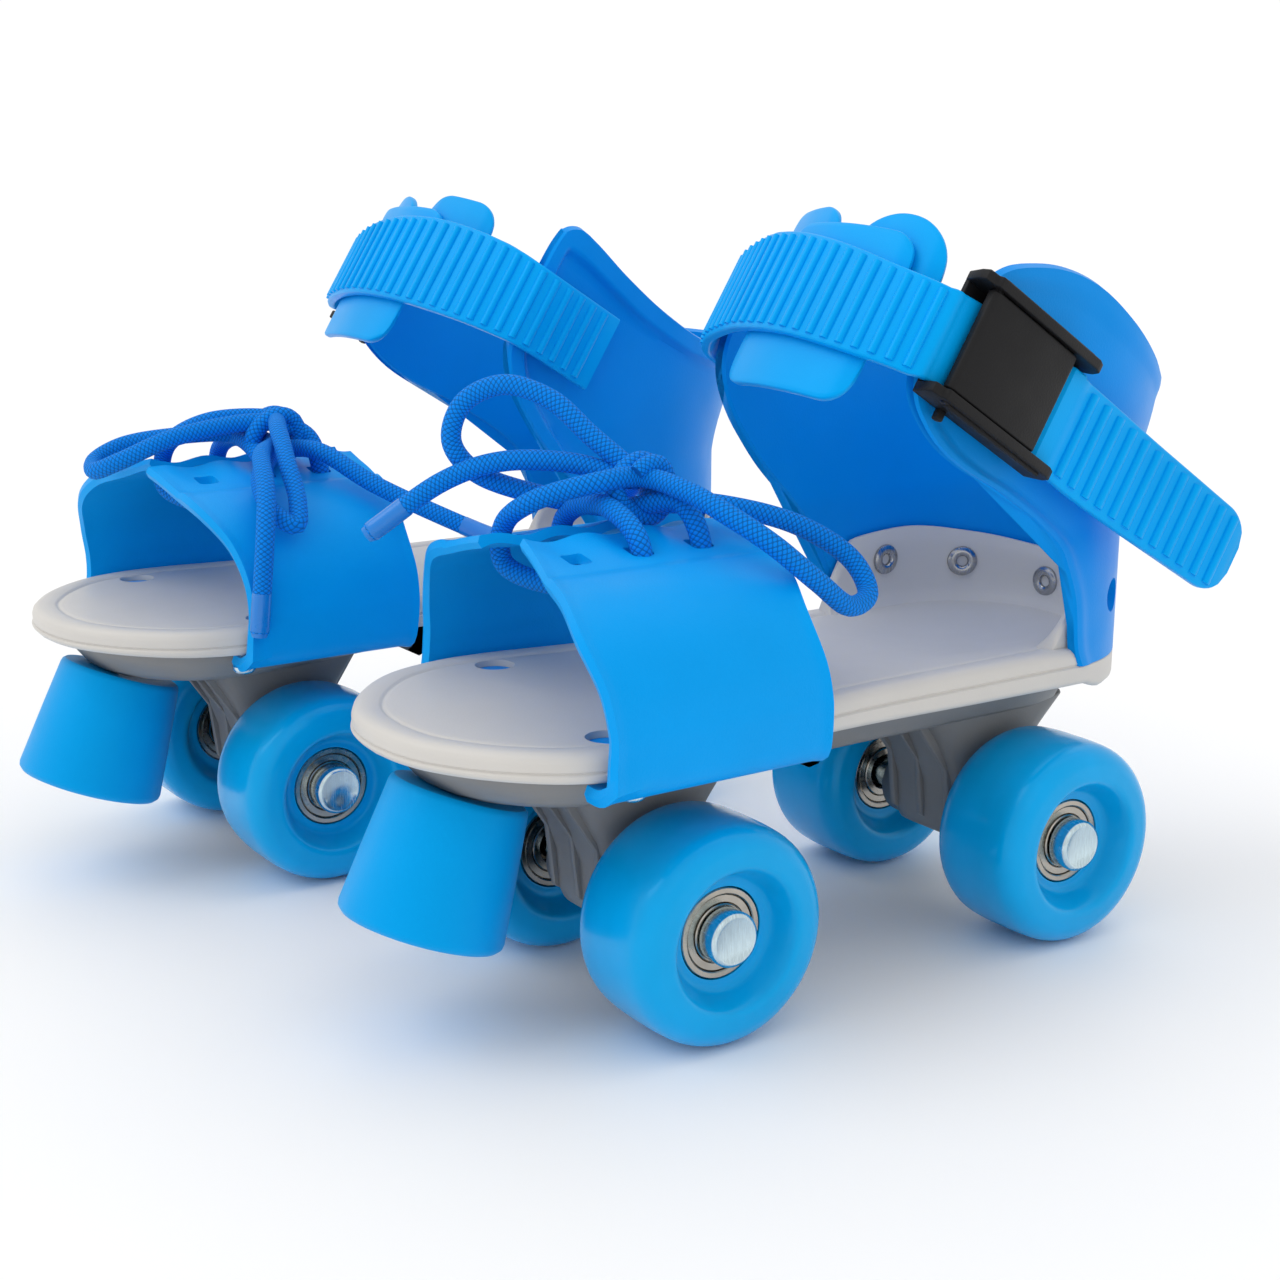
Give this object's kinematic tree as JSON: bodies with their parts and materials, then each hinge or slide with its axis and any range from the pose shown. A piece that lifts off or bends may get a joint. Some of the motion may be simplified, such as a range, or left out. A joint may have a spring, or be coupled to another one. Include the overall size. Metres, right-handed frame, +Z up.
{
  "type": "strap-on roller skates",
  "caption": "Strap-on roller skates for a child, left and right: grey footplate, rubber toe stop, blue wheels, laced toe strap, heel shell and buckled ankle strap.",
  "frame": {"origin": "on the floor under the middle of the pair, laces left out of the measuring", "axes": "+Z up, toes towards -Y, the left skate at +X and the right skate at -X"},
  "size_m": [0.2582, 0.2666, 0.1862],
  "materials": {
    "blue_plastic": "satin moulded plastic",
    "wheel_blue": "glossy polyurethane",
    "stop_rubber": "smooth rubber",
    "sole_grey": "satin moulded plastic",
    "chassis_grey": "satin moulded plastic",
    "black_plastic": "matte moulded plastic",
    "lace_blue": "braided polyester",
    "zinc": "bright zinc plate",
    "steel": "plain steel"
  },
  "bodies": {
    "wheel_front_outer_left": {"front_outer_wheel_left": "wheel_blue", "front_outer_bearings_left": "steel"},
    "wheel_front_inner_left": {"front_inner_wheel_left": "wheel_blue", "front_inner_bearings_left": "steel"},
    "wheel_rear_outer_left": {"rear_outer_wheel_left": "wheel_blue", "rear_outer_bearings_left": "steel"},
    "wheel_rear_inner_left": {"rear_inner_wheel_left": "wheel_blue", "rear_inner_bearings_left": "steel"},
    "buckle_lid_left": {"buckle_lever_left": "black_plastic"},
    "left_skate": {"footplate_left": "sole_grey", "front_truck_left": "chassis_grey", "rear_truck_left": "chassis_grey", "toe_stop_left": "stop_rubber", "toe_stop_bolt_left": "zinc", "front_axle_left": "zinc", "rear_axle_left": "zinc", "toe_strap_outer_left": "blue_plastic", "toe_strap_inner_left": "blue_plastic", "strap_bolt_outer_left": "zinc", "strap_bolt_inner_left": "zinc", "heel_shell_left": "blue_plastic", "heel_rivet_side_left": "steel", "heel_rivet_corner_left": "steel", "heel_rivet_back_left": "steel", "ankle_strap_left": "blue_plastic", "tongue_pad_left": "blue_plastic", "instep_pad_left": "blue_plastic", "buckle_frame_left": "black_plastic", "buckle_pin_left": "steel", "lace_left": "lace_blue"},
    "wheel_front_outer_right": {"front_outer_wheel_right": "wheel_blue", "front_outer_bearings_right": "steel"},
    "wheel_front_inner_right": {"front_inner_wheel_right": "wheel_blue", "front_inner_bearings_right": "steel"},
    "wheel_rear_outer_right": {"rear_outer_wheel_right": "wheel_blue", "rear_outer_bearings_right": "steel"},
    "wheel_rear_inner_right": {"rear_inner_wheel_right": "wheel_blue", "rear_inner_bearings_right": "steel"},
    "buckle_lid_right": {"buckle_lever_right": "black_plastic"},
    "right_skate": {"footplate_right": "sole_grey", "front_truck_right": "chassis_grey", "rear_truck_right": "chassis_grey", "toe_stop_right": "stop_rubber", "toe_stop_bolt_right": "zinc", "front_axle_right": "zinc", "rear_axle_right": "zinc", "toe_strap_outer_right": "blue_plastic", "toe_strap_inner_right": "blue_plastic", "strap_bolt_outer_right": "zinc", "strap_bolt_inner_right": "zinc", "heel_shell_right": "blue_plastic", "heel_rivet_side_right": "steel", "heel_rivet_corner_right": "steel", "heel_rivet_back_right": "steel", "ankle_strap_right": "blue_plastic", "tongue_pad_right": "blue_plastic", "instep_pad_right": "blue_plastic", "buckle_frame_right": "black_plastic", "buckle_pin_right": "steel", "lace_right": "lace_blue"}
  },
  "joints": [
    {"name": "roll_front_outer_left", "type": "hinge", "parent": "left_skate", "child": "wheel_front_outer_left", "pos_m": [0.1095, -0.03305, 0.027], "axis": [1, 0, 0], "continuous": true},
    {"name": "roll_front_inner_left", "type": "hinge", "parent": "left_skate", "child": "wheel_front_inner_left", "pos_m": [0.0385, -0.03305, 0.027], "axis": [1, 0, 0], "continuous": true},
    {"name": "roll_rear_outer_left", "type": "hinge", "parent": "left_skate", "child": "wheel_rear_outer_left", "pos_m": [0.1095, 0.07895, 0.027], "axis": [1, 0, 0], "continuous": true},
    {"name": "roll_rear_inner_left", "type": "hinge", "parent": "left_skate", "child": "wheel_rear_inner_left", "pos_m": [0.0385, 0.07895, 0.027], "axis": [1, 0, 0], "continuous": true},
    {"name": "buckle_open_left", "type": "hinge", "parent": "left_skate", "child": "buckle_lid_left", "pos_m": [0.126, 0.03033, 0.15954], "axis": [0, -0.5299, -0.848], "range_deg": [0, 70]},
    {"name": "roll_front_outer_right", "type": "hinge", "parent": "right_skate", "child": "wheel_front_outer_right", "pos_m": [-0.1095, -0.06005, 0.027], "axis": [1, 0, 0], "continuous": true},
    {"name": "roll_front_inner_right", "type": "hinge", "parent": "right_skate", "child": "wheel_front_inner_right", "pos_m": [-0.0385, -0.06005, 0.027], "axis": [1, 0, 0], "continuous": true},
    {"name": "roll_rear_outer_right", "type": "hinge", "parent": "right_skate", "child": "wheel_rear_outer_right", "pos_m": [-0.1095, 0.05195, 0.027], "axis": [1, 0, 0], "continuous": true},
    {"name": "roll_rear_inner_right", "type": "hinge", "parent": "right_skate", "child": "wheel_rear_inner_right", "pos_m": [-0.0385, 0.05195, 0.027], "axis": [1, 0, 0], "continuous": true},
    {"name": "buckle_open_right", "type": "hinge", "parent": "right_skate", "child": "buckle_lid_right", "pos_m": [-0.126, 0.00333, 0.15954], "axis": [0, 0.5299, 0.848], "range_deg": [0, 70]},
    {"name": "right_skate_rolls_forwards", "type": "slide", "parent": "left_skate", "child": "right_skate", "axis": [0, 1, 0], "range_m": [-0.03, 0.03]}
  ]
}
